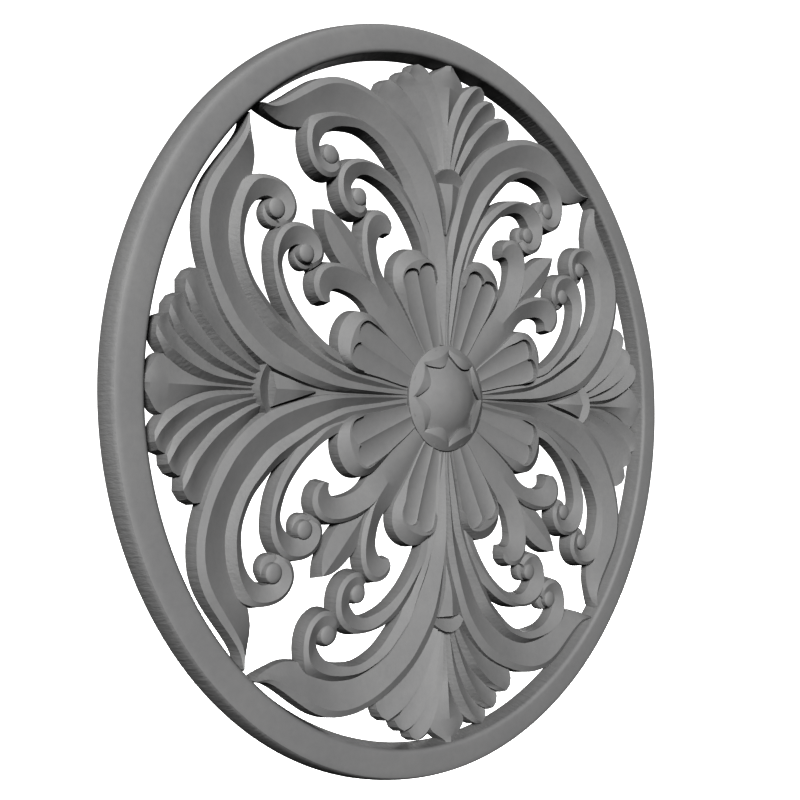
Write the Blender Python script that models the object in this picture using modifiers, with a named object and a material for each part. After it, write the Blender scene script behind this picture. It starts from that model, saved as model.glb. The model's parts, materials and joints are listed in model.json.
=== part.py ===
"""Openwork carved rosette, 500 mm across: a plain moulded ring round an ornament of eight fluted petals,
four palmettes, acanthus leaves and double scrolls, all carved in one board with a flat back.

The ornament has eight mirrored sectors, so one sector of 45 degrees is carved and then mirrored three times.
It is drawn lying down, in millimetres: x to the right, y up along the middle of a palmette, z the height above
the back. At the end it is stood up, with its face to -Y, its back on the plane y = 0 and its middle at the origin.
"""

import math

import bmesh
import bpy
from mathutils import Matrix, Vector

MM = 0.001
RING_RADIUS = 250.0
RING_BORE = 229.0
RING_HEIGHT = 12.4
BOSS_HEIGHT = 14.6
LAPPET_LIP = 22.3
LAPPET_CUSP = 30.5
PETAL_AXIS = math.radians(67.5)
PETAL_LENGTH = 103.5
FLUTE_AXIS = math.radians(68.8)
FLUTE_START = 37.0
FLUTE_END = 87.0
SCALLOP = 5.0
KNOB_HEIGHT = 11.4
OUTER_KNOB = (105.5, 145.5, 6.7)
INNER_KNOB = (82.0, 123.5, 6.1)
TURNED_STEPS = 72
CURVE_STEPS = 1
DRAFT = 0.17
UNDERCUT = -3.0
SLIVER = 0.7
FLATNESS = math.radians(9)

# Each rail is a line along an element, through points (x, y, height). The rails of one element run side by side.

PALMETTE_BLADE = [
    [(1.2, 148, 3), (1.5, 165, 3), (2.2, 182, 3.4), (4, 192, 3.8), (7.5, 202, 4.3), (11.5, 209, 4.8),
     (15.8, 214.8, 5.5), (14.5, 220, 6.8), (9.5, 224, 7.8), (4.2, 228, 8.6), (2.6, 233.5, 9.4)],
    [(0, 148, 4.4), (0, 165, 5), (0, 182, 6.4), (0, 192, 7.2), (0, 202, 7.8), (0, 209, 8.3), (0, 214.8, 8.8),
     (0, 220, 9.4), (0, 224, 9.7), (0, 227.5, 9.9), (0, 234, 10.4)],
]
PALMETTE_LOBES = [
    [
        [(0.8, 152, 3), (1.3, 164, 3), (1.8, 180, 3), (3.7, 191, 3), (7, 201, 3.2), (11.5, 209.5, 4),
         (15.5, 215, 6.5), (20.8, 219.3, 8.8), (25.5, 221.3, 8.8)],
        [(2.2, 152, 6), (3.5, 164, 6.2), (5, 180, 7.3), (7.5, 191, 8.5), (11.5, 201, 9.5), (16, 209, 10.5),
         (20, 214.5, 11), (25, 218.7, 10.9), (30.5, 221, 10)],
        [(3.3, 152, 4.8), (5, 164, 5), (8, 180, 6), (12, 190.5, 6.8), (17, 200.5, 7.3), (22.5, 208.3, 8),
         (27.3, 212.3, 8.2), (30.5, 216.3, 8.8), (34, 218.6, 8.6)],
        [(4.5, 152, 3), (6.8, 164, 3.2), (11.5, 180, 3.6), (16.5, 190, 4), (23, 199.8, 4.3), (29, 206.8, 4.6),
         (33.8, 209.8, 5), (36, 212.3, 5.4), (36, 215, 6.2)],
    ],
    [
        [(3.5, 152, 3), (5.5, 164, 3), (9, 180, 3), (12.5, 190, 3), (19, 200, 3), (26.5, 207.5, 5),
         (32.8, 211.8, 8.3), (37.5, 213.6, 8.6)],
        [(5, 152, 6.5), (7.5, 164, 7.4), (13, 180, 9), (17.5, 190, 10), (24, 200, 10.8), (31, 207.5, 11),
         (37.5, 211.5, 11), (42, 213, 10)],
        [(6.5, 152, 5), (10, 164, 5.7), (17, 179.8, 6.7), (23.5, 189.3, 7.3), (31.3, 198.6, 7.8),
         (38, 204.7, 8), (42, 208.3, 8.8), (45.6, 210.3, 8.6)],
        [(8, 152, 3), (13, 164, 3.4), (22.5, 179.5, 3.6), (31, 188.5, 4), (40, 196.5, 4.5), (46, 200, 5),
         (48.3, 203.2, 5.4), (47.8, 206.5, 6.2)],
    ],
    [
        [(7, 152, 3), (10, 163, 3), (18.5, 180, 3), (26, 188, 3), (36, 196.5, 4.2), (44, 201.8, 8.3),
         (50.5, 204.2, 8.6)],
        [(9, 152, 7), (13.5, 163, 8.4), (24, 180, 10), (32, 189, 10.7), (41, 196.8, 11), (49.5, 201.3, 11),
         (56, 204, 10)],
        [(10.7, 152, 5.3), (17.5, 162.5, 6.3), (31, 178.8, 7.3), (40.5, 186.8, 7.8), (50, 192.8, 8),
         (55.5, 196.5, 8.8), (60.3, 201.3, 8.8)],
        [(12.5, 151, 3), (22, 162, 3.5), (40.5, 176.5, 3.8), (52.5, 183, 4.3), (61.5, 187.5, 4.2),
         (63.3, 192, 5.4), (62.7, 196.8, 6.2)],
    ],
]
COLLAR = [
    [(11.5, 143.5, 6.5), (14.5, 150, 7)],
    [(8, 144.5, 5.2), (9.5, 154, 8.7)],
    [(4, 145, 4.9), (5, 156, 9.1)],
    [(0, 145, 4.8), (0, 156.8, 9.3)],
]
KEEL = [
    [(10, 146, 8), (8, 140, 8.6), (5, 130, 9), (2.2, 120, 7.2), (0.4, 113, 5.5)],
    [(0, 146, 11.5), (0, 140, 11.4), (0, 130, 10.7), (0, 120, 8), (0, 112.5, 5.6)],
]
SPINE = [
    [(5, 36, 4.6), (5, 60, 3.6), (6, 100, 3.4), (6, 130, 3.4), (5, 158, 3.2)],
    [(0, 36, 4.6), (0, 60, 3.6), (0, 100, 3.4), (0, 130, 3.4), (0, 158, 3.2)],
]
LEAF = [
    [(0.3, 36, 4), (0.3, 50, 4), (0.5, 70, 4.3), (0.8, 90, 4.8), (1.8, 105, 5.3), (4.5, 120, 6.5),
     (8.5, 135, 8), (13, 148, 8.3), (21, 161, 8.3), (32, 173, 8.3), (45, 182.5, 8.5), (62, 190.3, 9),
     (77, 194.8, 9), (90, 196, 9), (103, 194.6, 9), (115, 189.8, 8.8), (127, 181.7, 8.7), (138.5, 173, 8.6),
     (148, 167.2, 8.8), (156.5, 165.4, 9.6)],
    [(1, 36, 5), (1.3, 50, 5.7), (2, 70, 7.3), (3, 90, 8.3), (5, 105, 8.8), (8.5, 120, 9.4), (12.5, 133, 9.8),
     (17.5, 145, 10), (25.5, 157, 10), (36, 169, 10.2), (48.5, 178, 10.4), (63.5, 186, 10.6),
     (78, 190.5, 10.8), (90, 191.8, 11), (102, 190.3, 11), (113, 185.8, 10.8), (124.5, 178.3, 10.3),
     (136, 170.5, 9.9), (146.5, 165.3, 10), (157, 164.9, 10.2)],
    [(3, 36, 3), (4.5, 50, 3), (7, 70, 3), (10, 90, 3.2), (15.5, 103.6, 3.8), (20.5, 115.6, 4),
     (26, 126.6, 4), (31, 136.5, 4), (38.8, 146.3, 4), (49.5, 156.3, 4), (60, 164, 4), (71.5, 169.5, 4),
     (81, 172, 4), (90, 172, 4), (100, 170.5, 4), (109.5, 166, 4), (119, 160.8, 4.2), (134, 157.8, 4.4),
     (147, 160.4, 5.2), (158, 164.4, 8)],
]
OUTER_SCROLL = [
    [(2.2, 36, 3), (3.6, 50, 3), (5.6, 70, 3), (8.4, 90, 3), (13, 107.4, 3.2), (16.8, 117, 3.5),
     (23, 128.6, 3.5), (28.3, 139, 3.5), (35, 149.5, 3.5), (46.3, 159.6, 3.5), (57, 167.7, 3.5),
     (69.7, 173.6, 3.5), (80.3, 176.4, 3.5), (90, 176.7, 3.5), (100, 175.4, 3.5), (110.4, 172, 4),
     (119, 166.6, 6.5), (122.8, 160, 9.2), (123.8, 151, 9.7), (122.3, 142.2, 9.7), (118, 135.3, 9.7),
     (110.6, 131.2, 9.7), (102.6, 132, 9.5), (97, 136.6, 8.7), (95.2, 142.5, 7.5)],
    [(4, 36, 4.8), (6, 50, 5.5), (9, 70, 6.7), (12.5, 90, 7.7), (18.3, 106, 8.3), (22.3, 115, 8.8),
     (28.5, 126.3, 9.3), (33.5, 135.3, 10), (39.5, 144.8, 10.8), (50, 155.5, 11), (59.5, 163.3, 11),
     (71.3, 168.8, 11), (81, 171.3, 11), (90, 171.5, 11), (99, 170.5, 11), (107.5, 168.2, 11),
     (115.5, 163.8, 11.2), (120, 158.5, 11.4), (121.3, 150.5, 11.5), (119.9, 143.2, 11.5),
     (116.3, 137.4, 11.5), (110.2, 133.8, 11.4), (103.8, 134.6, 11.2), (99.3, 138.3, 10), (97.6, 142.6, 8.5)],
    [(6.4, 35.6, 3), (10, 49.6, 3.2), (14.3, 69.6, 3.8), (18.5, 87.4, 4.4), (24.2, 103.7, 5.3),
     (28.2, 112, 5.8), (34.5, 123.3, 5.4), (38.5, 131, 5.6), (44.5, 140.5, 6.6), (54.5, 151.5, 7.4),
     (63, 159, 8), (73, 165, 8.4), (81.5, 167, 8.6), (90, 166.5, 8.2), (97.5, 165, 7.8), (104, 162, 7.5),
     (109, 157.5, 7.3), (112, 152, 7), (112, 147.5, 7), (110.5, 144.5, 7), (108, 143.5, 7.5), (106, 144, 8),
     (104, 145, 8), (103, 146, 8), (102, 147.5, 8)],
]
INNER_SCROLL = [
    [(13.6, 86.2, 3.4), (18.3, 104.4, 3.8), (23.5, 114.5, 5), (31.5, 125, 6.5), (39.5, 132.5, 8),
     (49, 139.8, 9), (60, 145, 9.5), (72, 147.5, 9.7), (83.3, 147.5, 9.7), (92.2, 143.6, 9.7),
     (98, 136.8, 9.7), (99.6, 128.4, 9.7), (97.8, 119.5, 9.7), (92.5, 113, 9.7), (85, 110.2, 9.5),
     (78.4, 111.5, 9), (74, 117, 7.8)],
    [(17, 87, 6), (22, 103.5, 8.7), (28, 112.5, 9.3), (36.5, 122.5, 9.8), (43.5, 129.8, 10.2),
     (51.5, 136.5, 10.7), (61.5, 142.3, 11.2), (72, 145.8, 11.5), (82.3, 145, 11.6), (90.3, 141.5, 11.7),
     (95.5, 135.8, 11.8), (97, 128.5, 11.8), (95.4, 121, 11.6), (91, 115.4, 11.5), (85, 112.8, 11.2),
     (80, 113.9, 10.8), (76.5, 118.4, 9)],
    [(22, 88, 5.5), (27, 100.5, 7.5), (33, 110.5, 8), (41, 120.5, 8.2), (48.5, 127.5, 8), (56, 133, 7.8),
     (64, 137.3, 7.3), (73, 139.3, 7), (79.3, 138, 7), (83.5, 134.5, 7), (86.5, 130, 7), (86.8, 126.5, 7.5),
     (85.8, 124, 8), (84, 122.7, 8), (82, 122.5, 8), (80.5, 123, 8), (79.3, 124, 8)],
]
HOOK = [
    [(17, 30, 4.4), (27, 42, 4.5), (37, 56, 4.7), (46, 66, 4.9), (52, 71, 5), (57.5, 76, 5), (61.5, 83, 5),
     (63.7, 91, 5.2), (64.2, 96.5, 5.8), (63.3, 100.5, 6.6), (61.3, 103, 7.2), (58.8, 104, 7.6),
     (56.8, 104.1, 7.9), (55, 104, 8)],
    [(23.5, 23.5, 5.7), (36, 36, 6.3), (47, 47, 7), (57, 57, 8.2), (64, 64, 9.3), (69.7, 72, 10.3),
     (73, 80, 10.8), (75.7, 89, 10.9), (76.8, 98, 11), (75.8, 106, 11), (71.8, 112, 11), (65.5, 114.4, 10.6),
     (59.5, 112.8, 9.9), (54.2, 108, 9.2)],
    [(30, 17, 4.4), (42, 27, 4.5), (56, 37, 4.7), (66, 46, 4.9), (71, 58, 6.5), (71, 70.5, 8.6),
     (75.5, 79.2, 8.5), (78.3, 88.5, 8.6), (79.3, 98, 9), (78.3, 107, 9.3), (74, 114.4, 9.3),
     (66.5, 117.6, 9.2), (59, 116, 9), (54.7, 112, 8.7)],
]
BUD = [
    [(68, 72, 5.3), (74.5, 82, 5.5), (77.5, 90, 6), (81, 95.5, 6.3), (86, 100.5, 6.7), (91.5, 104.5, 7.2),
     (97.5, 108, 8), (104, 110, 9), (110, 110.4, 10.2)],
    [(68, 68, 6), (75, 75, 7), (80.5, 80.5, 7.9), (87, 87, 8.8), (92.5, 92.5, 9.4), (97.5, 97.5, 9.9),
     (102.5, 102.5, 10.3), (107, 107, 10.5), (110.4, 110.4, 10.5)],
]
# These three are measured along and across the middle of the petal instead.
PETAL_SIDE = [(30, 6.5, 4.8), (42, 9.7, 5.3), (60, 13.2, 6.2), (73, 16.8, 7), (82, 19.2, 7.2), (89, 18.6, 7.2),
              (95, 16.2, 7.2), (99.5, 12.4, 7.3), (102.5, 6.5, 7.5), (PETAL_LENGTH, 0, 7.6)]
PETAL_RIM = [(30, 4.3, 6.5), (42, 7, 7.8), (60, 10.4, 9.3), (73, 13.8, 10.5), (81, 16, 11.2), (87, 16.2, 11.6),
             (91.3, 13.8, 11.9), (94, 9.4, 12), (95.2, 4.8, 12), (95.5, 0, 12)]
PETAL_MIDDLE = [(30, 0, 7), (40, 0, 8.3), (50, 0, 9), (60, 0, 9.7), (68, 0, 10.3), (75, 0, 10.8), (80, 0, 11.2),
                (84, 0, 11.6), (88, 0, 11.9), (91, 0, 12)]


def smooth_line(points, steps):
    """The points of a curve through the given ones, with the given number of steps from each to the next."""
    ends = [Vector(points[0]) * 2 - Vector(points[1])]
    ends += [Vector(point) for point in points]
    ends.append(ends[-1] * 2 - ends[-2])
    line = []
    for before, start, stop, after in zip(ends, ends[1:], ends[2:], ends[3:]):
        for step in range(steps):
            t = step / steps
            bend = start + (stop - before) * t / 2
            bend += (before * 2 - start * 5 + stop * 4 - after) * t * t / 2
            bend += (start * 3 - before - stop * 3 + after) * t ** 3 / 2
            line.append(bend)
    line.append(ends[-2])
    return line


def mirrored(rails):
    """Adds the other half of an element whose last rail lies on x = 0."""
    return rails + [[(-x, y, z) for x, y, z in rail] for rail in reversed(rails[:-1])]


def mirrored_on_diagonal(rails):
    """Adds the other half of an element whose last rail lies on x = y."""
    return rails + [[(y, x, z) for x, y, z in rail] for rail in reversed(rails[:-1])]


def new_object(name, mesh, collection):
    piece = bpy.data.objects.new(name, mesh)
    collection.objects.link(piece)
    return piece


def carved(name, rails, collection, bottom=UNDERCUT, steps=CURVE_STEPS, draft=DRAFT):
    """A solid whose face is lofted through the rails, with sides that lean outwards down to the bottom."""
    lines = [smooth_line(rail, steps) for rail in rails]
    work = bmesh.new()
    grid = [[work.verts.new(point) for point in line] for line in lines]
    for here, there in zip(grid, grid[1:]):
        for i in range(len(here) - 1):
            work.faces.new((here[i], here[i + 1], there[i + 1], there[i]))
    bmesh.ops.remove_doubles(work, verts=work.verts, dist=1e-4)
    border = [edge for edge in work.edges if edge.is_boundary]
    lean = {}
    for edge in border:
        face = edge.link_faces[0]
        along = edge.verts[1].co - edge.verts[0].co
        outward = Vector((along.y, -along.x, 0)).normalized()
        if outward.dot(face.calc_center_median() - edge.verts[0].co) > 0:
            outward.negate()
        for vert in edge.verts:
            lean.setdefault(vert.co.copy().freeze(), []).append(outward)
    sides = bmesh.ops.extrude_edge_only(work, edges=border)["geom"]
    for item in sides:
        if isinstance(item, bmesh.types.BMVert):
            first, second = lean[item.co.copy().freeze()]
            reach = draft * (item.co.z - bottom)
            item.co += (first + second) / max(1 + first.dot(second), 0.5) * reach
            item.co.z = bottom
    feet = [item for item in sides if isinstance(item, bmesh.types.BMEdge) and item.is_boundary]
    bmesh.ops.contextual_create(work, geom=feet)
    bmesh.ops.recalc_face_normals(work, faces=work.faces)
    mesh = bpy.data.meshes.new(name)
    work.to_mesh(mesh)
    work.free()
    return new_object(name, mesh, collection)


def turned(name, profile, steps, collection, centre=(0, 0)):
    """A solid turned about an upright axis from a profile of (radius, height), top to bottom."""
    mesh = bpy.data.meshes.new(name)
    mesh.from_pydata([(r, 0, z) for r, z in profile], [(i, i + 1) for i in range(len(profile) - 1)], [])
    piece = new_object(name, mesh, collection)
    piece.location = (centre[0], centre[1], 0)
    screw = piece.modifiers.new("turn", "SCREW")
    screw.axis = "Z"
    screw.steps = steps
    screw.render_steps = steps
    screw.use_merge_vertices = True
    screw.merge_threshold = 0.0001
    screw.use_normal_calculate = True
    return piece


def as_mesh(piece):
    """Replaces an object's modifiers with the mesh they make, set down where the object stands."""
    bpy.context.view_layer.update()
    graph = bpy.context.evaluated_depsgraph_get()
    mesh = bpy.data.meshes.new_from_object(piece.evaluated_get(graph))
    mesh.transform(piece.matrix_world)
    piece.modifiers.clear()
    piece.data = mesh
    piece.matrix_world = Matrix()
    work = bmesh.new()
    work.from_mesh(mesh)
    bmesh.ops.remove_doubles(work, verts=work.verts, dist=1e-4)
    bmesh.ops.recalc_face_normals(work, faces=work.faces)
    work.to_mesh(mesh)
    work.free()
    return piece


def petal_point(along, across, height, axis=FLUTE_AXIS):
    """Turns a point measured along and across a line from the middle into the sector's own x, y and z."""
    c, s = math.cos(axis), math.sin(axis)
    return (along * c + across * s, along * s - across * c, height)


def flutes(collection, rows, columns):
    """The cutter for the two hollows of a petal: its underside is the floor, with a ridge in the middle."""
    rails = []
    for column in range(columns + 1):
        share = 2 * column / columns - 1
        edge = abs(2 * abs(share) - 1)
        end = FLUTE_END + SCALLOP * math.sqrt(1 - edge * edge)
        if abs(share) > 0.5:
            end -= 1.5 * (2 * abs(share) - 1) ** 2
        rail = []
        for row in range(rows + 1):
            t = row / rows
            along = FLUTE_START + (end - FLUTE_START) * t
            width = 9 + 13.2 * t - 6.6 * t * t
            floor = 5 + 1.2 * t + 2.4 * t * t + 0.9 * edge * edge
            rail.append(petal_point(along, share * width, floor))
        rails.append(rail)
    return carved("flutes", rails, collection, bottom=30, steps=1, draft=0)


def join(piece, others, operation):
    boolean = piece.modifiers.new(operation.lower(), "BOOLEAN")
    boolean.operation = operation
    boolean.solver = "EXACT"
    boolean.operand_type = "COLLECTION"
    boolean.collection = others
    return as_mesh(piece)


def lappet_rails(columns):
    """The small round leaf between the boss and a petal, over 45 degrees, with its lip towards the middle."""
    lip, back, foot = [], [], []
    for column in range(-1, columns + 2):
        angle = math.radians(45 + 45 * column / columns)
        swell = math.cos(4 * (angle - PETAL_AXIS))
        inner = LAPPET_CUSP - (LAPPET_CUSP - LAPPET_LIP) * swell
        outer = 34 + 1.5 * swell
        middle = inner * 0.45 + outer * 0.55
        lip.append((inner * math.cos(angle), inner * math.sin(angle), 7.6 + 3.7 * swell))
        back.append((middle * math.cos(angle), middle * math.sin(angle), 7 + 2.8 * swell))
        foot.append((outer * math.cos(angle), outer * math.sin(angle), 5.4))
    return [lip, back, foot]


def sector(collection, cutters):
    """Every element of one sector, joined and trimmed to the 45 degrees between x = 0 and x = y."""
    petal = carved(
        "petal",
        [
            [petal_point(u, -v, z, axis) for u, v, z in half] + [petal_point(u, v, z, axis) for u, v, z in half[-2::-1]]
            for half, axis in ((PETAL_SIDE, PETAL_AXIS), (PETAL_RIM, FLUTE_AXIS), (PETAL_MIDDLE, FLUTE_AXIS))
        ],
        collection,
    )
    flutes(cutters, 4, 12)
    join(petal, cutters, "DIFFERENCE")
    carved("blade", mirrored(PALMETTE_BLADE), collection, UNDERCUT - 0.1)
    for index, rails in enumerate(PALMETTE_LOBES):
        carved(f"lobe_{index}", rails, collection, UNDERCUT - 0.2 - 0.1 * index)
    carved("collar", mirrored(COLLAR), collection, UNDERCUT - 0.5)
    carved("keel", mirrored(KEEL), collection, UNDERCUT - 0.6)
    carved("spine", mirrored(SPINE), collection, UNDERCUT - 0.7)
    carved("leaf", LEAF, collection, UNDERCUT - 0.8)
    carved("outer_scroll", OUTER_SCROLL, collection, UNDERCUT - 0.9)
    carved("inner_scroll", INNER_SCROLL, collection, UNDERCUT - 1)
    carved("hook", HOOK, collection, UNDERCUT - 1.1)
    carved("bud", mirrored_on_diagonal(BUD), collection, UNDERCUT - 1.2)
    carved("lappet", lappet_rails(6), collection, bottom=2, draft=0)
    for index, (x, y, radius) in enumerate((OUTER_KNOB, INNER_KNOB)):
        top = KNOB_HEIGHT
        profile = [(0, top), (radius * 0.6, top - 0.6), (radius, top - 2.6),
                   (radius, UNDERCUT - 1.4 - 0.1 * index), (0, UNDERCUT - 1.4 - 0.1 * index)]
        as_mesh(turned(f"knob_{index}", profile, 12, collection, (x, y)))
    profile = [(0, BOSS_HEIGHT), (6, 14.3), (12, 13.1), (18, 11.1), (24, 8.2), (31, 5.4), (37, 3.5),
               (37, UNDERCUT - 1.6), (0, UNDERCUT - 1.6)]
    as_mesh(turned("boss", profile, 32, collection))
    profile = [(RING_BORE - 2.9, UNDERCUT - 1.7), (RING_BORE + 1, RING_HEIGHT - 0.1),
               (RING_RADIUS - 4.6, RING_HEIGHT - 0.1), (RING_RADIUS - 2.4, 10.4), (RING_RADIUS + 1.085, UNDERCUT - 1.7),
               (RING_BORE - 2.9, UNDERCUT - 1.7)]
    ring = as_mesh(turned("ring", profile, TURNED_STEPS, cutters))
    return join(ring, collection, "UNION")


def keep_side(work, point, normal, fill=False):
    """Cuts the mesh with a plane and removes what lies on the side that the normal points to."""
    everything = work.verts[:] + work.edges[:] + work.faces[:]
    cut = bmesh.ops.bisect_plane(work, geom=everything, dist=1e-5, plane_co=point, plane_no=normal, clear_outer=True)
    if fill:
        edges = [item for item in cut["geom_cut"] if isinstance(item, bmesh.types.BMEdge)]
        bmesh.ops.triangle_fill(work, edges=edges, use_beauty=True, use_dissolve=False, normal=normal)


def inside(work, radius):
    """The vertices of the carving inside the radius, without those on the sector's two cut sides."""
    return {vert for vert in work.verts if not vert.is_boundary and vert.co.xy.length < radius}


def flatten(work, radius):
    """Merges neighbouring faces that are nearly in one plane."""
    inner = inside(work, radius)
    edges = [edge for edge in work.edges if set(edge.verts) & inner]
    bmesh.ops.dissolve_limit(work, angle_limit=FLATNESS, verts=list(inner), edges=edges)


def simplify(work, radius):
    """Clears the slivers that the joins leave inside the radius, with the back kept flat."""
    flatten(work, radius)
    inner = inside(work, radius)
    front = {vert for vert in inner if vert.co.z > 0.01}
    short = [edge for edge in work.edges if set(edge.verts) <= front or set(edge.verts) <= inner - front]
    bmesh.ops.dissolve_degenerate(work, edges=short, dist=SLIVER)
    flatten(work, radius)


def mirror_all(work, turn):
    """Adds the mirror image of the mesh in the plane whose normal is the turned x axis, and joins the two."""
    both = bmesh.ops.duplicate(work, geom=work.verts[:] + work.edges[:] + work.faces[:])["geom"]
    flip = turn @ Matrix.Scale(-1, 4, (1, 0, 0)) @ turn.inverted()
    bmesh.ops.transform(work, matrix=flip, verts=[item for item in both if isinstance(item, bmesh.types.BMVert)])
    bmesh.ops.reverse_faces(work, faces=[item for item in both if isinstance(item, bmesh.types.BMFace)])
    bmesh.ops.remove_doubles(work, verts=work.verts, dist=2e-4)


def main():
    for piece in list(bpy.data.objects):
        bpy.data.objects.remove(piece, do_unlink=True)
    rosette = bpy.data.collections.new("decorative_rosette")
    elements = bpy.data.collections.new("elements")
    cutters = bpy.data.collections.new("cutters")
    for collection in (rosette, elements, cutters):
        bpy.context.scene.collection.children.link(collection)

    carving = sector(elements, cutters)
    work = bmesh.new()
    work.from_mesh(carving.data)
    keep_side(work, (0, 0, 0), (0, 0, -1), fill=True)
    keep_side(work, (0, 0, 0), (-1, 0, 0))
    keep_side(work, (0, 0, 0), Vector((1, -1, 0)).normalized())
    simplify(work, RING_BORE - 3)
    mirror_all(work, Matrix.Rotation(math.radians(-45), 4, "Z"))
    mirror_all(work, Matrix())
    mirror_all(work, Matrix.Rotation(math.radians(90), 4, "Z"))
    bmesh.ops.recalc_face_normals(work, faces=work.faces)
    stand_up = Matrix.Rotation(math.radians(90), 4, "X") @ Matrix.Scale(MM, 4)
    bmesh.ops.transform(work, matrix=stand_up, verts=work.verts)
    mesh = bpy.data.meshes.new("rosette")
    work.to_mesh(mesh)
    work.free()
    for piece in list(elements.objects) + list(cutters.objects):
        bpy.data.objects.remove(piece, do_unlink=True)

    mesh.shade_smooth()
    mesh.set_sharp_from_angle(angle=math.radians(22))
    material = bpy.data.materials.new("grey_primer")
    material.use_nodes = True
    shader = material.node_tree.nodes["Principled BSDF"]
    shader.inputs["Base Color"].default_value = (0.2, 0.2, 0.2, 1)
    shader.inputs["Roughness"].default_value = 0.75
    mesh.materials.append(material)
    new_object("rosette", mesh, rosette)


main()
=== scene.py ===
import json
import math

import bmesh
import bpy
from mathutils import Matrix, Vector

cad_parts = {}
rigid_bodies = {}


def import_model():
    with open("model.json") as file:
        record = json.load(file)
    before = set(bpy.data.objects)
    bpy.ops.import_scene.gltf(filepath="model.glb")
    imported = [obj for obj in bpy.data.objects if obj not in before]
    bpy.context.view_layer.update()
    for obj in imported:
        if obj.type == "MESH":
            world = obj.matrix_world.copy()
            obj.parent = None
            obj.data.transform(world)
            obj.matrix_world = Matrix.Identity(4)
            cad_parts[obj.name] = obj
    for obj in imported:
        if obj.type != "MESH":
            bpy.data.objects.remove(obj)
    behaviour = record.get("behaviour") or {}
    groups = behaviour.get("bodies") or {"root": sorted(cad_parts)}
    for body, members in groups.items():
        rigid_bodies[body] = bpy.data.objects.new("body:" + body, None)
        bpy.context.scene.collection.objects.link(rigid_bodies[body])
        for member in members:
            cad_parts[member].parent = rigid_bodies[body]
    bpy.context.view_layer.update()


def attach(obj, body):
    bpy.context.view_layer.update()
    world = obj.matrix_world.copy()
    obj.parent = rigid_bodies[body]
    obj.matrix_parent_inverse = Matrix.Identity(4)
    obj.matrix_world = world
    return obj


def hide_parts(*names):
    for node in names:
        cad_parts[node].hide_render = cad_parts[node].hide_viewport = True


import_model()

# An openwork carved rosette with eight mirrored sectors. One sector is drawn lying down, in millimetres:
# x to the right, y up along the middle of a palmette, z the height above the back. Geometry Nodes repeat it
# round the middle.

mm = 0.001
under = -3.0  # how far about the elements reach below the back before they are trimmed
lean = 0.17  # how much the sides widen towards the back, per mm of height


def smoothLine(points, steps):
    # a curve through the points, with the given number of steps from each to the next
    ends = [Vector(points[0]) * 2 - Vector(points[1])]
    ends += [Vector(point) for point in points]
    ends.append(ends[-1] * 2 - ends[-2])
    line = []
    for before, start, stop, after in zip(ends, ends[1:], ends[2:], ends[3:]):
        for step in range(steps):
            t = step / steps
            bend = start + (stop - before) * t / 2
            bend += (before * 2 - start * 5 + stop * 4 - after) * t * t / 2
            bend += (start * 3 - before - stop * 3 + after) * t ** 3 / 2
            line.append(bend)
    line.append(ends[-2])
    return line


def mirrored(rails):
    return rails + [[(-x, y, z) for x, y, z in rail] for rail in reversed(rails[:-1])]


def mirroredOnDiagonal(rails):
    return rails + [[(y, x, z) for x, y, z in rail] for rail in reversed(rails[:-1])]


def newObject(name, mesh, collection):
    piece = bpy.data.objects.new(name, mesh)
    collection.objects.link(piece)
    return piece


def carved(name, rails, collection, depth, steps=4, across=2, lean=lean):
    # a solid whose face is lofted through the rails, with sides that lean outwards
    lines = [smoothLine(rail, steps) for rail in rails]
    grid = []
    for here, there in zip(lines, lines[1:]):
        for column in range(across):
            grid.append([a.lerp(b, column / across) for a, b in zip(here, there)])
    grid.append(lines[-1])
    work = bmesh.new()
    verts = [[work.verts.new(point) for point in line] for line in grid]
    for here, there in zip(verts, verts[1:]):
        for i in range(len(here) - 1):
            work.faces.new((here[i], here[i + 1], there[i + 1], there[i]))
    bmesh.ops.remove_doubles(work, verts=work.verts, dist=1e-4)
    border = [edge for edge in work.edges if edge.is_boundary]
    outwards = {}
    for edge in border:
        face = edge.link_faces[0]
        along = edge.verts[1].co - edge.verts[0].co
        outward = Vector((along.y, -along.x, 0)).normalized()
        if outward.dot(face.calc_center_median() - edge.verts[0].co) > 0:
            outward.negate()
        for vert in edge.verts:
            outwards.setdefault(vert.co.copy().freeze(), []).append(outward)
    sides = bmesh.ops.extrude_edge_only(work, edges=border)["geom"]
    for item in sides:
        if isinstance(item, bmesh.types.BMVert):
            first, second = outwards[item.co.copy().freeze()]
            reach = lean * (item.co.z - depth)
            item.co += (first + second) / max(1 + first.dot(second), 0.5) * reach
            item.co.z = depth
    feet = [item for item in sides if isinstance(item, bmesh.types.BMEdge) and item.is_boundary]
    bmesh.ops.contextual_create(work, geom=feet)
    bmesh.ops.recalc_face_normals(work, faces=work.faces)
    mesh = bpy.data.meshes.new(name)
    work.to_mesh(mesh)
    work.free()
    return newObject(name, mesh, collection)


def asMesh(piece):
    # replaces an object's modifiers with the mesh that they make, set down where the object stands
    bpy.context.view_layer.update()
    graph = bpy.context.evaluated_depsgraph_get()
    mesh = bpy.data.meshes.new_from_object(piece.evaluated_get(graph))
    mesh.transform(piece.matrix_world)
    piece.modifiers.clear()
    piece.data = mesh
    piece.matrix_world = Matrix()
    work = bmesh.new()
    work.from_mesh(mesh)
    bmesh.ops.remove_doubles(work, verts=work.verts, dist=1e-4)
    bmesh.ops.recalc_face_normals(work, faces=work.faces)
    work.to_mesh(mesh)
    work.free()
    return piece


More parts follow.
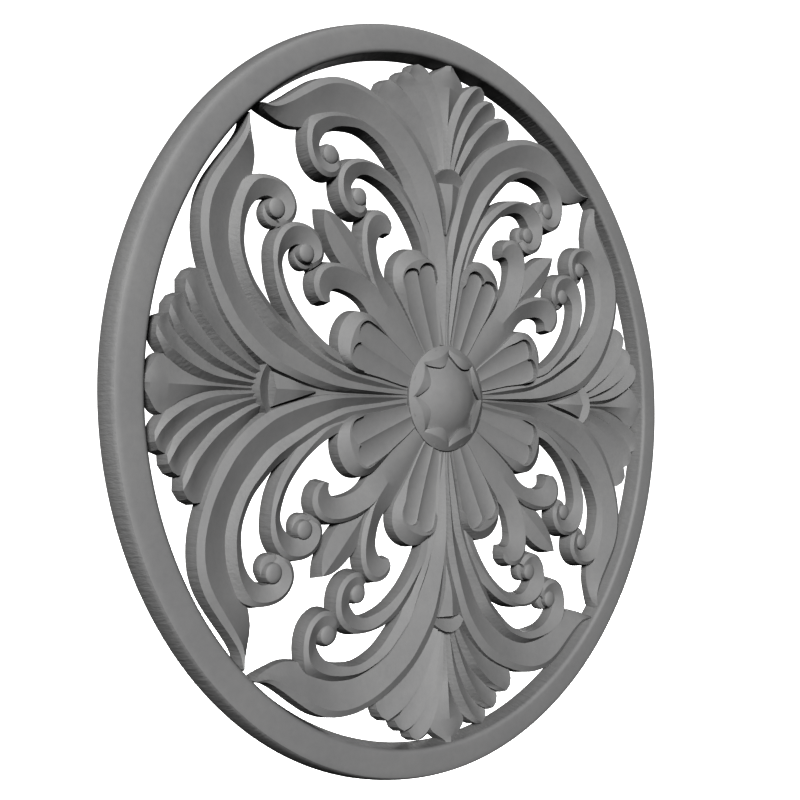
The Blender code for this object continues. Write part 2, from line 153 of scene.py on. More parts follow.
def turned(name, profile, steps, collection, centre=(0, 0)):
    # turns a profile of (radius, height) about an upright axis
    mesh = bpy.data.meshes.new(name)
    mesh.from_pydata([(r, 0, z) for r, z in profile], [(i, i + 1) for i in range(len(profile) - 1)], [])
    piece = newObject(name, mesh, collection)
    piece.location = (centre[0], centre[1], 0)
    screw = piece.modifiers.new("turn", "SCREW")
    screw.axis = "Z"
    screw.steps = steps
    screw.render_steps = steps
    screw.use_merge_vertices = True
    screw.merge_threshold = 0.0001
    screw.use_normal_calculate = True
    return asMesh(piece)


def join(piece, others, operation):
    boolean = piece.modifiers.new(operation.lower(), "BOOLEAN")
    boolean.operation = operation
    boolean.solver = "EXACT"
    boolean.operand_type = "COLLECTION"
    boolean.collection = others
    return asMesh(piece)


def trim(work, normal, fill=False):
    # cuts the mesh with a plane through the middle and removes what lies on the side of the normal
    everything = work.verts[:] + work.edges[:] + work.faces[:]
    cut = bmesh.ops.bisect_plane(work, geom=everything, dist=1e-5, plane_co=(0, 0, 0), plane_no=normal,
                                 clear_outer=True)
    if fill:
        edges = [item for item in cut["geom_cut"] if isinstance(item, bmesh.types.BMEdge)]
        bmesh.ops.triangle_fill(work, edges=edges, use_beauty=True, use_dissolve=False, normal=normal)


elements = bpy.data.collections.new("elements")
cutters = bpy.data.collections.new("cutters")
for collection in (elements, cutters):
    bpy.context.scene.collection.children.link(collection)


# Each rail is a line along an element, through points (x, y, height). An element's rails run side by side,
# and each element reaches to a depth of its own, so that no two bottoms meet.

palmette = {
    "blade": [
        [(1.2, 148, 3), (1.5, 165, 3), (2.2, 182, 3.4), (4, 192, 3.8), (7.5, 202, 4.3), (11.5, 209, 4.8),
         (15.8, 214.8, 5.5), (14.5, 220, 6.8), (9.5, 224, 7.8), (4.2, 228, 8.6), (2.6, 233.5, 9.4)],
        [(0, 148, 4.4), (0, 165, 5), (0, 182, 6.4), (0, 192, 7.2), (0, 202, 7.8), (0, 209, 8.3),
         (0, 214.8, 8.8), (0, 220, 9.4), (0, 224, 9.7), (0, 227.5, 9.9), (0, 234, 10.4)],
    ],
    "lobes": [
        [
            [(0.8, 152, 3), (1.3, 164, 3), (1.8, 180, 3), (3.7, 191, 3), (7, 201, 3.2), (11.5, 209.5, 4),
             (15.5, 215, 6.5), (20.8, 219.5, 8.8), (25.8, 222, 8.8)],
            [(2.2, 152, 6), (3.5, 164, 6.2), (5, 180, 7.3), (7.5, 191, 8.5), (11.5, 201, 9.5),
             (16, 209, 10.5), (20, 214.5, 11), (25, 219, 10.9), (31, 222, 9.6)],
            [(3.3, 152, 4.8), (5, 164, 5), (8, 180, 6), (12, 190.5, 6.6), (17, 200.5, 6.9), (22.5, 208, 7),
             (27.5, 212, 7), (31.2, 215.8, 7.4), (35.2, 219.5, 8.8)],
            [(4.5, 152, 3), (6.8, 164, 3.2), (11.5, 180, 3.6), (16.5, 190, 4), (23, 199.8, 4.3),
             (29.2, 206.4, 4.6), (34, 209.6, 5), (36.4, 212.2, 5.8), (36.9, 215.6, 7.4)],
        ],
        [
            [(3.5, 152, 3), (5.5, 164, 3), (9, 180, 3), (12.5, 190, 3), (19, 200, 3), (26.5, 207.5, 5),
             (32.8, 211.9, 8.3), (37.8, 214.4, 8.6)],
            [(5, 152, 6.5), (7.5, 164, 7.4), (13, 180, 9), (17.5, 190, 10), (24, 200, 10.8), (31, 207.5, 11),
             (37.5, 211.7, 11), (42.7, 213.9, 9.6)],
            [(6.5, 152, 5), (10, 164, 5.7), (17, 179.8, 6.7), (23.5, 189.3, 7), (31.3, 198.4, 7.1),
             (38.2, 204.2, 7), (42.7, 207.5, 7.4), (46.9, 211, 8.8)],
            [(8, 152, 3), (13, 164, 3.4), (22.5, 179.5, 3.6), (31, 188.5, 4), (40.2, 196.1, 4.5),
             (46.2, 199.8, 5), (48.7, 203, 5.8), (48.9, 207, 7.4)],
        ],
        [
            [(7, 152, 3), (10, 163, 3), (18.5, 180, 3), (26, 188, 3), (36, 196.5, 4.2), (44, 201.8, 8.3),
             (50.9, 204.8, 8.6)],
            [(9, 152, 7), (13.5, 163, 8.4), (24, 180, 10), (32, 189, 10.7), (41, 196.8, 11),
             (49.5, 201.3, 11), (56.9, 204.8, 9.6)],
            [(10.7, 152, 5.3), (17.5, 162.5, 6.3), (31, 178.8, 7.3), (40.5, 186.8, 7.3), (50, 192.5, 7.2),
             (56.4, 196.2, 7.4), (61.6, 201.7, 8.8)],
            [(12.5, 151, 3), (22, 162, 3.5), (40.5, 176.5, 3.8), (52.7, 182.6, 4.3), (61.8, 187.2, 4.4),
             (63.9, 191.8, 5.8), (64, 197.2, 7.4)],
        ],
    ],
    "collar": [
        [(11.5, 143.5, 4.6), (14.5, 150, 8)],
        [(8, 144.5, 3.8), (9.5, 154, 9.6)],
        [(4, 145, 3.5), (5, 156, 10.2)],
        [(0, 145, 3.4), (0, 156.8, 10.4)],
    ],
    "keel": [
        [(10, 146, 8), (8, 140, 8.6), (5, 130, 9), (2.2, 120, 7.2), (0.4, 113, 5.5)],
        [(0, 146, 11.5), (0, 140, 11.4), (0, 130, 10.7), (0, 120, 8), (0, 112.5, 5.6)],
    ],
    "spine": [
        [(5, 36, 4.6), (5, 60, 3.6), (6, 100, 3.4), (6, 130, 3.4), (5, 158, 3.2)],
        [(0, 36, 4.6), (0, 60, 3.6), (0, 100, 3.4), (0, 130, 3.4), (0, 158, 3.2)],
    ],
}


def carvePalmette():
    carved("blade", mirrored(palmette["blade"]), elements, under - 0.1)
    for index, rails in enumerate(palmette["lobes"]):
        carved(f"lobe{index}", rails, elements, under - 0.2 - 0.1 * index)
    carved("collar", mirrored(palmette["collar"]), elements, under - 0.5)
    carved("keel", mirrored(palmette["keel"]), elements, under - 0.6)
    carved("spine", mirrored(palmette["spine"]), elements, under - 0.7)
    print("palmette carved")


leaf = {
    "rails": [
        [(0.3, 36, 4), (0.3, 50, 4), (0.5, 70, 4.3), (0.8, 90, 4.8), (1.8, 105, 5.3), (4.5, 120, 6.5),
         (8.5, 135, 8), (13, 148, 8.3), (21, 161, 8.3), (32, 173, 8.3), (45, 182.5, 8.5), (62, 190.3, 9),
         (77, 194.8, 9), (90, 196, 9), (103, 194.6, 9), (115, 189.8, 8.8), (127, 181.7, 8.7),
         (138.5, 173, 8.6), (148, 167.2, 8.8), (156.5, 165.4, 9.6)],
        [(1, 36, 5), (1.3, 50, 5.7), (2, 70, 7.3), (3, 90, 8.3), (5, 105, 8.8), (8.5, 120, 9.4),
         (12.5, 133, 9.8), (17.5, 145, 10), (25.5, 157, 10), (36, 169, 10.2), (48.5, 178, 10.4),
         (63.5, 186, 10.6), (78, 190.5, 10.8), (90, 191.8, 11), (102, 190.3, 11), (113, 185.8, 10.8),
         (124.5, 178.3, 10.3), (136, 170.5, 9.9), (146.5, 165.3, 10), (157, 164.9, 10.2)],
        [(3, 36, 3), (4.5, 50, 3), (7, 70, 3), (10, 90, 3.2), (15.5, 103.6, 3.8), (20.5, 115.6, 4),
         (26, 126.6, 4), (31, 136.5, 4), (38.8, 146.3, 4), (49.5, 156.3, 4), (60, 164, 4), (71.5, 169.5, 4),
         (81, 172, 4), (90, 172, 4), (100, 170.5, 4), (109.5, 166, 4), (119, 160.8, 4.2), (134, 157.8, 4.4),
         (147, 160.4, 5.2), (158, 164.4, 8)],
    ],
}


def carveLeaf():
    carved("leaf", leaf["rails"], elements, under - 0.8)
    print("leaf carved")


scrolls = {
    "outer": [
        [(2.2, 36, 3), (3.6, 50, 3), (5.6, 70, 3), (8.4, 90, 3), (13, 107.4, 3.2), (16.8, 117, 3.5),
         (23, 128.6, 3.5), (28.3, 139, 3.5), (35, 149.5, 3.5), (46.3, 159.6, 3.5), (57, 167.7, 3.5),
         (69.7, 173.6, 3.5), (80.3, 176.4, 3.5), (90, 176.7, 3.5), (100, 175.4, 3.5), (110.4, 172, 4),
         (119, 166.6, 6.5), (122.8, 160, 9.2), (123.8, 151, 9.7), (122.3, 142.2, 9.7), (118, 135.3, 9.7),
         (110.6, 131.2, 9.7), (102.6, 132, 9.5), (97, 136.6, 9), (95.2, 142.5, 7.5)],
        [(4, 36, 4.8), (6, 50, 5.5), (9, 70, 6.7), (12.5, 90, 7.7), (18.3, 106, 8.3), (22.3, 115, 8.8),
         (28.5, 126.3, 9.3), (33.5, 135.3, 10), (39.5, 144.8, 10.8), (50, 155.5, 11), (59.5, 163.3, 11),
         (71.3, 168.8, 11), (81, 171.3, 11), (90, 171.5, 11), (99, 170.5, 11), (107.5, 168.2, 11),
         (115.5, 163.8, 11.2), (120, 158.5, 11.4), (121.3, 150.5, 11.5), (119.9, 143.2, 11.5),
         (116.3, 137.4, 11.5), (110.2, 133.8, 11.4), (103.8, 134.6, 11.2), (99.3, 138.3, 10.3),
         (97.6, 142.6, 8.5)],
        [(6.4, 35.6, 3), (10, 49.6, 3.2), (14.3, 69.6, 3.8), (18.5, 87.4, 4.4), (24.2, 103.7, 5.3),
         (28.2, 112, 5.8), (34.5, 123.3, 5.4), (38.5, 131, 5.6), (43.8, 141.2, 6.6), (53.8, 152.2, 7.4),
         (62.4, 159.7, 8), (73, 165, 8.4), (81.5, 167, 8.6), (90, 166.5, 8.2), (97.5, 165, 7.8),
         (104, 162, 7.5), (109, 157.5, 7.3), (112, 152, 7), (112, 147.5, 7), (110.5, 144.5, 7),
         (108, 143.5, 7.5), (106, 144, 8), (104, 145, 8), (103, 146, 8), (102, 147.5, 8)],
    ],
    "inner": [
        [(13.6, 86.2, 3.4), (18.3, 104.4, 3.8), (23.5, 114.5, 5), (31.5, 125, 6.5), (39.5, 132.5, 8),
         (49, 139.8, 9), (60, 145, 9.5), (72, 147.5, 9.7), (83.3, 147.5, 9.7), (92.2, 143.6, 9.7),
         (98, 136.8, 9.7), (99.6, 128.4, 9.7), (97.8, 119.5, 9.7), (92.5, 113, 9.7), (85, 110.2, 9.5),
         (78.4, 111.5, 9), (74, 117, 7.8)],
        [(17, 87, 6), (22, 103.5, 8.7), (28, 112.5, 9.3), (36.5, 122.5, 9.8), (43.5, 129.8, 10.2),
         (51.5, 136.5, 10.7), (61.5, 142.3, 11.2), (72, 145.8, 11.5), (82.3, 145, 11.6), (90.3, 141.5, 11.7),
         (95.5, 135.8, 11.8), (97, 128.5, 11.8), (95.4, 121, 11.6), (91, 115.4, 11.5), (85, 112.8, 11.2),
         (80, 113.9, 10.8), (76.5, 118.4, 9)],
        [(22, 88, 5.5), (26.6, 101, 7.5), (32.4, 111.3, 8), (40.2, 121.4, 8.2), (47.8, 128.3, 8),
         (55.5, 133.7, 7.8), (64, 137.3, 7.3), (73, 139.3, 7), (79.3, 138, 7), (83.5, 134.5, 7),
         (86.5, 130, 7), (86.8, 126.5, 7.5), (85.8, 124, 8), (84, 122.7, 8), (82, 122.5, 8),
         (80.5, 123, 8), (79.3, 124, 8)],
    ],
    "knobs": [(105.5, 145.5, 5.9), (82.0, 123.5, 5.7)],  # x, y and radius
    "bases": [(102.8, 145.2, 8.2, 6.6), (80.2, 122.4, 7.9, 6.4)],  # x, y, radius and height
    "knobHeight": 11.4,
    # share of the radius, drop below the top
    "knobCrown": [(0, 0), (0.35, 0.1), (0.65, 0.4), (0.85, 0.9), (0.96, 1.5), (1, 2.3)],
    "knobFlare": 1.3,  # how much wider the knob is at the back
}


def carveScrolls():
    carved("outerScroll", scrolls["outer"], elements, under - 0.9)
    carved("innerScroll", scrolls["inner"], elements, under - 1)
    for index, (x, y, radius) in enumerate(scrolls["knobs"]):
        top = scrolls["knobHeight"]
        bottom = under - 1.4 - 0.1 * index
        profile = [(radius * share, top - drop) for share, drop in scrolls["knobCrown"]]
        profile += [(radius + scrolls["knobFlare"], bottom), (0, bottom)]
        turned(f"knob{index}", profile, 36, elements, (x, y))
    for index, (x, y, radius, top) in enumerate(scrolls["bases"]):
        bottom = under - 1.2 - 0.1 * index
        profile = [(0, top + 0.4), (radius - 2.4, top), (radius - 0.7, top - 0.8), (radius, top - 2.4),
                   (radius, bottom), (0, bottom)]
        turned(f"knobBase{index}", profile, 40, elements, (x, y))
    print("scrolls carved")


hook = {
    "rails": [
        [(17, 30, 4.4), (27, 42, 4.5), (37, 56, 4.7), (46, 66, 4.9), (52, 71, 5), (57.5, 76, 5),
         (61.5, 83, 5), (63.7, 91, 5.2), (64.2, 96.5, 5.8), (63.3, 100.5, 6.6), (61.3, 103, 7.2),
         (58.8, 104, 7.6), (56.8, 104.1, 7.9), (55, 104, 8)],
        [(23.5, 23.5, 5.7), (36, 36, 6.3), (47, 47, 7), (57, 57, 8.2), (64, 64, 9.3), (69.7, 72, 10.3),
         (73, 80, 10.8), (75.7, 89, 10.9), (76.8, 98, 11), (75.8, 106, 11), (71.8, 112, 11),
         (65.5, 114.4, 10.6), (59.5, 112.8, 9.9), (54.2, 108, 9.2)],
        [(30, 17, 4.4), (42, 27, 4.5), (56, 37, 4.7), (66, 46, 4.9), (71, 58, 6.5), (71, 70.5, 8.6),
         (75.5, 79.2, 8.5), (78.3, 88.5, 8.6), (79.3, 98, 9), (78.3, 107, 9.3), (74, 114.4, 9.3),
         (66.5, 117.6, 9.2), (59, 116, 9), (54.7, 112, 8.7)],
    ],
}

bud = {
    "rails": [
        [(68, 72, 5.3), (74.5, 82, 5.5), (77.5, 90, 6), (81, 95.5, 6.3), (86, 100.5, 6.7), (91.5, 104.5, 7.2),
         (97.5, 108, 8), (104, 110, 9), (110, 110.4, 10.2)],
        [(68, 68, 6), (75, 75, 7), (80.5, 80.5, 7.9), (87, 87, 8.8), (92.5, 92.5, 9.4), (97.5, 97.5, 9.9),
         (102.5, 102.5, 10.3), (107, 107, 10.5), (110.4, 110.4, 10.5)],
    ],
}


def carveHookAndBud():
    carved("hook", hook["rails"], elements, under - 1.1)
    carved("bud", mirroredOnDiagonal(bud["rails"]), elements, under - 1.2)
    print("hook and bud carved")


# The side, rim and middle of the petal are measured along and across its own axis, from the rosette's middle.
petal = {
    "axis": math.radians(67.5),
    "side": [(30, 6.5, 4.8), (42, 9.7, 5.3), (60, 13.2, 6.2), (73, 16.8, 7), (82, 19.2, 7.2),
             (89, 18.6, 7.2), (95, 16.2, 7.2), (99.5, 12.4, 7.3), (102.5, 6.5, 7.5), (103.5, 0, 7.6)],
    "rim": [(30, 4.3, 6.5), (42, 7, 7.8), (60, 10.4, 9.3), (73, 13.8, 10.5), (81, 16, 11.2),
            (87, 16.2, 11.6), (91.3, 13.8, 11.9), (94, 9.4, 12), (95.2, 4.8, 12), (95.5, 0, 12)],
    "middle": [(30, 0, 7), (40, 0, 8.3), (50, 0, 9), (60, 0, 9.7), (68, 0, 10.3), (75, 0, 10.8),
               (80, 0, 11.2), (84, 0, 11.6), (88, 0, 11.9), (91, 0, 12)],
    "fluteAxis": math.radians(68.8),
    "fluteStart": 34,
    "fluteEnd": 87.0,
    "scallop": 5.0,  # how far the middle of each flute's end stands out
    "shoulder": 1.5,  # how far the outer corners of the ends draw back
    "fluteWidth": (9, 13.2, -6.6),  # half the width at the start, and its change with the way along
    "fluteFloor": (5, 1.2, 2.4),
    "fluteRise": 0.9,  # how much higher the floor is at its sides
    "rows": 16,
    "columns": 48,
}


def curve(values, t):
    start, slope, bend = values
    return start + slope * t + bend * t * t


def onPetal(along, across, height, axis):
    c, s = math.cos(axis), math.sin(axis)
    return (along * c + across * s, along * s - across * c, height)


def carvePetal():
    # the rim stands round two hollows, which a cutter with a scalloped end takes out
    rails = []
    for half, axis in (("side", "axis"), ("rim", "fluteAxis"), ("middle", "fluteAxis")):
        left = [onPetal(u, -v, z, petal[axis]) for u, v, z in petal[half]]
        right = [onPetal(u, v, z, petal[axis]) for u, v, z in petal[half][-2::-1]]
        rails.append(left + right)
    body = carved("petal", rails, elements, under)
    rails = []
    for column in range(petal["columns"] + 1):
        share = 2 * column / petal["columns"] - 1
        edge = abs(2 * abs(share) - 1)
        end = petal["fluteEnd"] + petal["scallop"] * math.sqrt(1 - edge * edge)
        if abs(share) > 0.5:
            end -= petal["shoulder"] * (2 * abs(share) - 1) ** 2
        rail = []
        for row in range(petal["rows"] + 1):
            t = row / petal["rows"]
            width = curve(petal["fluteWidth"], t)
            floor = curve(petal["fluteFloor"], t) + petal["fluteRise"] * edge * edge
            along = petal["fluteStart"] + (end - petal["fluteStart"]) * t
            rail.append(onPetal(along, share * width, floor, petal["fluteAxis"]))
        rails.append(rail)
    carved("flutes", rails, cutters, 30, steps=1, across=1, lean=0)
    join(body, cutters, "DIFFERENCE")
    for cutter in list(cutters.objects):
        bpy.data.objects.remove(cutter)
    print("petal carved")


lappet = {
    "lip": 22.3,  # how near the lip comes to the middle
    "cusp": 30.5,
    "outer": 35.8,
    "lipHeight": (7.6, 3.4),  # at the cusps, and how much more in the middle
    "backHeight": (7.7, 2.6),
    "footHeight": (6.2, 0),
    "roundness": 0.7,
    "columns": 24,
}


def carveLappet():
    # the small round leaf between the boss and a petal, with its lip towards the middle
    lip, back, foot = [], [], []
    for column in range(-1, lappet["columns"] + 2):
        angle = math.radians(45 + 45 * column / lappet["columns"])
        turn = 4 * (angle - petal["axis"])
        swell = math.copysign(abs(math.cos(turn)) ** lappet["roundness"], math.cos(turn))
        inner = lappet["cusp"] - (lappet["cusp"] - lappet["lip"]) * swell
        outer = lappet["outer"]
        middle = (inner + outer) / 2
        places = ((lip, inner, lappet["lipHeight"]), (back, middle, lappet["backHeight"]),
                  (foot, outer, lappet["footHeight"]))
        for rail, radius, (height, rise) in places:
            rail.append((radius * math.cos(angle), radius * math.sin(angle), height + rise * swell))
    carved("lappet", [lip, back, foot], elements, 2, steps=1, lean=0)
    print("lappet carved")


boss = {
    "dome": [(0, 14.6), (6, 14.3), (12, 13.1), (18, 11.1), (24, 8.2), (31, 5.4), (37, 3.5)],
    "steps": 96,
}

ring = {
    "height": 12.4,
    "crown": 0.12,  # how much the face is domed
    "bore": 229.0,
    "taper": 2.3,  # how much narrower the opening is at the back
    "edge": 3.0,  # how far the inner edge is rounded
    # radius, height
    "rim": [(245.6, 12.2), (246.5, 11.8), (247.2, 11), (247.8, 9.6), (248.4, 7.6), (249.3, 4), (250, 0)],
    "steps": 240,
}


def carveRing():
    # the ring takes every element of the sector into one solid
    dome = [(point.x, point.y) for point in smoothLine([(r, z, 0) for r, z in boss["dome"]], 4)]
    turned("boss", dome + [(dome[-1][0], under - 1.6), (0, under - 1.6)], boss["steps"], elements)
    soft, crown, top, depth = ring["edge"], ring["crown"], ring["height"], under - 1.7
    inner, outer, foot = ring["bore"] + soft, ring["rim"][0][0], ring["rim"][-1][0]
    turns = [math.radians(15 * step) for step in range(7)]
    face = [(inner - soft * math.cos(turn), top - crown - soft * (1 - math.sin(turn))) for turn in turns]
    face += [(inner + (outer - inner) * step / 6, top - crown * (step / 3 - 1) ** 2) for step in range(1, 6)]
    bore = ring["bore"] - ring["taper"] * (1 - depth / top)
    profile = [(bore, depth), *face, *ring["rim"], (foot, depth), (bore, depth)]
    return join(turned("ring", profile, ring["steps"], cutters), elements, "UNION")


def cutSector(carving):
    # leaves the 45 degrees between x = 0 and x = y, above the flat back
    work = bmesh.new()
    work.from_mesh(carving.data)
    trim(work, (0, 0, -1), fill=True)
    trim(work, (-1, 0, 0))
    trim(work, Vector((1, -1, 0)).normalized())
    within = [edge for edge in work.edges if not edge.is_boundary]
    bmesh.ops.dissolve_degenerate(work, edges=within, dist=0.002)
    mesh = bpy.data.meshes.new("sector")
    work.to_mesh(mesh)
    work.free()
    print("sector:", len(mesh.polygons), "faces")
    return mesh


carveRepeat = {
    "quarters": 4,
}


def repeatTree():
    # mirrors the sector, sets the pair round the middle, and makes one mesh of them
    tree = bpy.data.node_groups.new("repeatSector", "GeometryNodeTree")
    tree.interface.new_socket("Geometry", in_out="INPUT", socket_type="NodeSocketGeometry")
    count = tree.interface.new_socket("Quarters", in_out="INPUT", socket_type="NodeSocketInt")
    finish = tree.interface.new_socket("Material", in_out="INPUT", socket_type="NodeSocketMaterial")
    tree.interface.new_socket("Geometry", in_out="OUTPUT", socket_type="NodeSocketGeometry")

    def node(kind, settings=None, **links):
        made = tree.nodes.new(kind)
        for key, value in (settings or {}).items():
            setattr(made, key, value)
        for key, value in links.items():
            socket = made.inputs[key]
            if isinstance(value, bpy.types.NodeSocket):
                tree.links.new(value, socket)
            else:
                socket.default_value = value
        return made

    given = node("NodeGroupInput").outputs
    other = node("GeometryNodeTransform", Geometry=given["Geometry"], Scale=(-1, 1, 1))
    turnedOver = node("GeometryNodeFlipFaces", Mesh=other.outputs[0])
    pair = node("GeometryNodeJoinGeometry")
    for part in (given["Geometry"], turnedOver.outputs[0]):
        tree.links.new(part, pair.inputs[0])
    points = node("GeometryNodePoints", Count=given["Quarters"])
    index = node("GeometryNodeInputIndex")
    step = node("ShaderNodeMath", {"operation": "DIVIDE"})
    step.inputs[0].default_value = math.tau
    tree.links.new(given["Quarters"], step.inputs[1])
    angle = node("ShaderNodeMath", {"operation": "MULTIPLY"})
    tree.links.new(index.outputs[0], angle.inputs[0])
    tree.links.new(step.outputs[0], angle.inputs[1])
    turn = node("ShaderNodeCombineXYZ", Z=angle.outputs[0])
    rotation = node("FunctionNodeEulerToRotation", Euler=turn.outputs[0])
    placed = node("GeometryNodeInstanceOnPoints", Points=points.outputs[0], Instance=pair.outputs[0],
                  Rotation=rotation.outputs[0])
    real = node("GeometryNodeRealizeInstances", Geometry=placed.outputs[0])
    done = node("GeometryNodeSetMaterial", Geometry=real.outputs[0], Material=given["Material"])
    out = node("NodeGroupOutput")
    tree.links.new(done.outputs[0], out.inputs[0])
    return tree, count.identifier, finish.identifier


class Sock:
    # a socket of a material's tree, so that its maths can be written as expressions
    def __init__(self, tree, socket):
        self.tree = tree
        self.socket = socket

    def node(self, kind, settings=None, output=0, **links):
        made = self.tree.nodes.new(kind)
        for key, value in (settings or {}).items():
            setattr(made, key, value)
        for key, value in links.items():
            # i0, i1 and so on name a socket by its number
            socket = made.inputs[int(key[1:]) if key[1:].isdigit() else key]
            if isinstance(value, Sock):
                self.tree.links.new(value.socket, socket)
            else:
                socket.default_value = value
        return Sock(self.tree, made.outputs[output])

    def maths(self, operation, first, second):
        return self.node("ShaderNodeMath", {"operation": operation}, i0=first, i1=second)

    def __add__(self, other):
        return self.maths("ADD", self, other)

    def __sub__(self, other):
        return self.maths("SUBTRACT", self, other)

    def __rsub__(self, other):
        return self.maths("SUBTRACT", other, self)

    def __mul__(self, other):
        return self.maths("MULTIPLY", self, other)

    __radd__ = __add__
    __rmul__ = __mul__


primer = {
    "full": (0.196, 0.196, 0.197),
    "thin": (0.232, 0.231, 0.229),  # where less primer stayed on the board
    "paintedShade": (0.158, 0.157, 0.155),  # painted shade, darker low in the carving
    "paintedShadeHeight": 6.0 * mm,
    "roughness": 0.72,
    "patch": 22.0,  # the noises' sizes, in cells to the metre
    "speckle": 260.0,
    "grain": 1500.0,
    "cuts": (430.0, 26.0, 430.0),  # marks of the knife, that run down the sides
    "cutDepth": 0.9 * mm,
    "cutStrength": 0.7,
    "grainDepth": 0.3 * mm,
    "grainStrength": 0.22,
    "sheen": 0.25,
}


def primedBoard():
    # matt grey primer on a carved board, thin in places, with painted shade low in the carving, and the
    # knife's marks on the steep sides
    material = bpy.data.materials.new("grey_primer")
    material.use_nodes = True
    tree = material.node_tree
    shader = tree.nodes["Principled BSDF"]
    place = Sock(tree, tree.nodes.new("ShaderNodeTexCoord").outputs["Object"])
    facing = Sock(tree, tree.nodes.new("ShaderNodeNewGeometry").outputs["Normal"])
    dot, front = {"operation": "DOT_PRODUCT"}, (0, -1, 0)
    level = facing.node("ShaderNodeVectorMath", dot, output=1, i0=facing, i1=front)
    side = place.node("ShaderNodeClamp", Value=(1 - level) * 1.6)
    height = place.node("ShaderNodeVectorMath", dot, output=1, i0=place, i1=front)
    # mask of the painted shade: full at the back, fading out towards the given height
    paintedShadeMask = place.node("ShaderNodeClamp", Value=1 - height * (1 / primer["paintedShadeHeight"]))

    patch = place.node("ShaderNodeTexNoise", Vector=place, Scale=primer["patch"], Detail=4.0, Roughness=0.65)
    speckle = place.node("ShaderNodeTexNoise", Vector=place, Scale=primer["speckle"], Detail=3.0,
                         Roughness=0.7)
    grain = place.node("ShaderNodeTexNoise", Vector=place, Scale=primer["grain"], Detail=2.0)
    stretched = place.node("ShaderNodeVectorMath", {"operation": "MULTIPLY"}, i0=place, i1=primer["cuts"])
    cuts = place.node("ShaderNodeTexNoise", Vector=stretched, Scale=1.0, Detail=3.0, Roughness=0.6)

    worn = place.node("ShaderNodeClamp", Value=(patch * 0.7 + speckle * 0.5 - 0.35) * 1.5)
    coat = place.node("ShaderNodeMix", {"data_type": "RGBA"}, output=2, i0=worn,
                      i6=(*primer["full"], 1), i7=(*primer["thin"], 1))
    # painted shade: the colour darkens low in the carving, broken up by speckle
    colour = place.node("ShaderNodeMix", {"data_type": "RGBA"}, output=2, i0=paintedShadeMask * speckle * 1.2,
                        i6=coat, i7=(*primer["paintedShade"], 1))
    tree.links.new(colour.socket, shader.inputs["Base Color"])
    rough = primer["roughness"] + (speckle - 0.5) * 0.3 - worn * 0.08
    tree.links.new(rough.socket, shader.inputs["Roughness"])
    marks = place.node("ShaderNodeBump", Height=cuts * side, Strength=primer["cutStrength"],
                       Distance=primer["cutDepth"])
    bump = place.node("ShaderNodeBump", Height=grain * 0.5 + speckle * 0.5, Strength=primer["grainStrength"],
                      Distance=primer["grainDepth"], Normal=marks)
    tree.links.new(bump.socket, shader.inputs["Normal"])
    shader.inputs["Specular IOR Level"].default_value = primer["sheen"]
    print("primer mixed")
    return material


def buildRosette():
    carvePetal()
    carvePalmette()
    carveLeaf()
    carveScrolls()
    carveHookAndBud()
    carveLappet()
    rosette = newObject("carvedRosette", cutSector(carveRing()), bpy.context.scene.collection)
    for piece in list(elements.objects) + list(cutters.objects):
        bpy.data.objects.remove(piece)
    for collection in (elements, cutters):
        bpy.data.collections.remove(collection)

    tree, count, finish = repeatTree()
    repeat = rosette.modifiers.new("repeat", "NODES")
    repeat.node_group = tree
    repeat[count] = carveRepeat["quarters"]
    repeat[finish] = primedBoard()
    bpy.context.view_layer.update()
    mesh = bpy.data.meshes.new_from_object(rosette.evaluated_get(bpy.context.evaluated_depsgraph_get()))
    rosette.modifiers.clear()
    rosette.data = mesh

    work = bmesh.new()
    work.from_mesh(mesh)
    bmesh.ops.remove_doubles(work, verts=work.verts, dist=2e-4)
    bmesh.ops.recalc_face_normals(work, faces=work.faces)
    openEdges = sum(not edge.is_manifold for edge in work.edges)
    standUp = Matrix.Rotation(math.radians(90), 4, "X") @ Matrix.Scale(mm, 4)
    bmesh.ops.transform(work, matrix=standUp, verts=work.verts)
    work.to_mesh(mesh)
    work.free()
    mesh.shade_smooth()
    mesh.set_sharp_from_angle(angle=math.radians(24))
    mesh.name = "carvedRosette"
    triangles = sum(len(face.vertices) - 2 for face in mesh.polygons)
    print("rosette:", triangles, "triangles,", openEdges, "open edges")
    return rosette


studio = {
    "floor": -0.75,
    "wall": 6.0,  # how far off the round backdrop stands
    "turnUp": 1.5,  # the radius in which the floor turns up into the backdrop
    "turnSteps": 16,
    "steps": 64,
    # the direction that each light comes from, how far off it stands, and its power: the key light
    # models the relief, and the weak ones reach the back and the side that are turned away from it
    "lights": {
        "key": ((-0.568, -0.763, 0.310), 7.0, 1045.0),
        "back": ((0, 1, 0), 5.0, 300.0),
        "side": ((0.85, 0.45, 0.2), 5.0, 130.0),
    },
    "lightSize": 1.8,
    "glow": 1.0,  # of the backdrop
    "fill": 0.004,
    "contrast": 0.66,  # the display's gamma, under 1 to darken the unlit sides
}


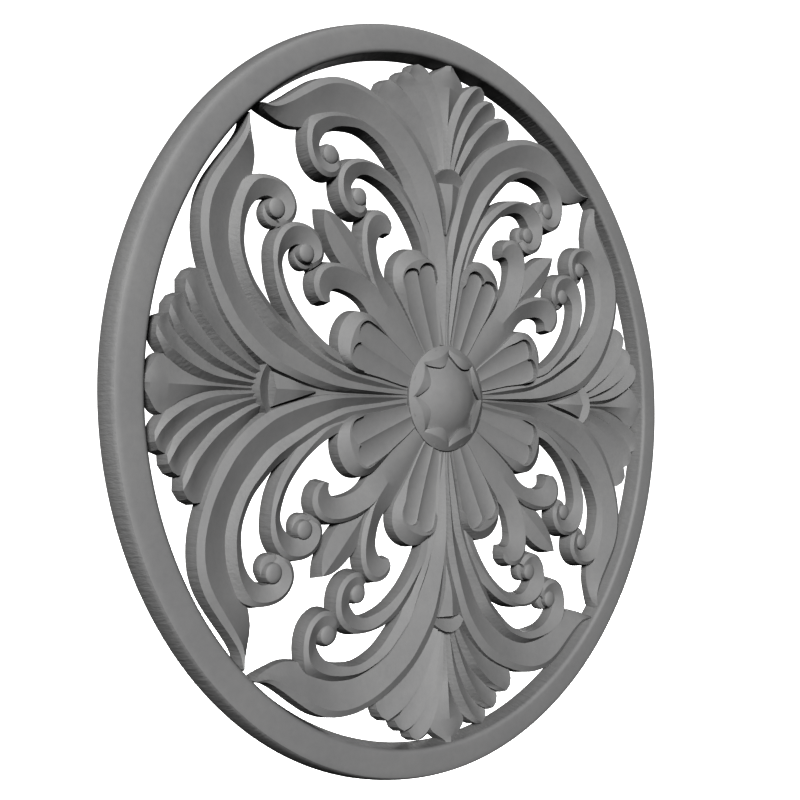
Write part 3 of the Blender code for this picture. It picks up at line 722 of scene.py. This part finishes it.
def setStudio():
    # a round pale sweep, floor and backdrop in one, all about the rosette
    wall, floor, turnUp, steps = studio["wall"], studio["floor"], studio["turnUp"], studio["steps"]
    line = [(0.01, floor)]
    for step in range(studio["turnSteps"] + 1):
        angle = math.radians(90 * step / studio["turnSteps"])
        line.append((wall - turnUp * (1 - math.sin(angle)), floor + turnUp * (1 - math.cos(angle))))
    line.append((wall, wall))
    verts, faces = [], []
    for step in range(steps):
        angle = math.tau * step / steps
        verts += [(out * math.cos(angle), out * math.sin(angle), height) for out, height in line]
    for step in range(steps):
        here, there = step * len(line), (step + 1) % steps * len(line)
        faces += [(here + i, there + i, there + i + 1, here + i + 1) for i in range(len(line) - 1)]
    faces.append([step * len(line) for step in reversed(range(steps))])
    mesh = bpy.data.meshes.new("sweep")
    mesh.from_pydata(verts, [], faces)
    mesh.shade_smooth()
    sweep = newObject("sweep", mesh, bpy.context.scene.collection)
    paper = bpy.data.materials.new("paleSweep")
    paper.use_nodes = True
    shader = paper.node_tree.nodes["Principled BSDF"]
    shader.inputs["Base Color"].default_value = (0.93, 0.93, 0.93, 1)
    shader.inputs["Roughness"].default_value = 0.9
    shader.inputs["Emission Color"].default_value = (1, 1, 1, 1)
    shader.inputs["Emission Strength"].default_value = studio["glow"]
    mesh.materials.append(paper)
    sweep.visible_diffuse = False
    sweep.visible_glossy = False
    sweep.visible_shadow = False

    for name, (direction, reach, power) in studio["lights"].items():
        data = bpy.data.lights.new(name, "AREA")
        data.shape = "DISK"
        data.size = studio["lightSize"]
        data.energy = power
        light = bpy.data.objects.new(name, data)
        bpy.context.scene.collection.objects.link(light)
        towards = Vector(direction).normalized()
        light.location = towards * reach
        light.rotation_euler = towards.to_track_quat("Z", "Y").to_euler()

    world = bpy.data.worlds.new("studio")
    world.use_nodes = True
    world.node_tree.nodes["Background"].inputs["Color"].default_value = (1, 1, 1, 1)
    world.node_tree.nodes["Background"].inputs["Strength"].default_value = studio["fill"]
    bpy.context.scene.world = world
    bpy.context.scene.view_settings.view_transform = "Standard"
    bpy.context.scene.view_settings.gamma = studio["contrast"]
    print("studio set")


camera = {
    "place": (-0.4791, -0.4711, -0.0345),
    "yaw": 43.113,  # degrees from +Y towards +X
    "pitch": 2.858,
    "roll": 0.138,
    "lens": 44.196,
    "sensor": 36.0,
}


def setCamera():
    yaw, pitch, roll = (math.radians(camera[key]) for key in ("yaw", "pitch", "roll"))
    ahead = Vector((math.sin(yaw) * math.cos(pitch), math.cos(yaw) * math.cos(pitch), math.sin(pitch)))
    level = Vector((math.cos(yaw), -math.sin(yaw), 0))
    upright = level.cross(ahead)
    right = level * math.cos(roll) + upright * math.sin(roll)
    data = bpy.data.cameras.new("camera")
    data.sensor_width = camera["sensor"]
    data.lens = camera["lens"]
    data.clip_start = 0.01
    view = bpy.data.objects.new("camera", data)
    bpy.context.scene.collection.objects.link(view)
    turn = Matrix((right, right.cross(ahead), -ahead)).transposed().to_4x4()
    view.matrix_world = Matrix.Translation(camera["place"]) @ turn
    bpy.context.scene.camera = view
    print("camera set")


rosette = buildRosette()
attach(rosette, "root")
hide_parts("rosette")
setStudio()
setCamera()
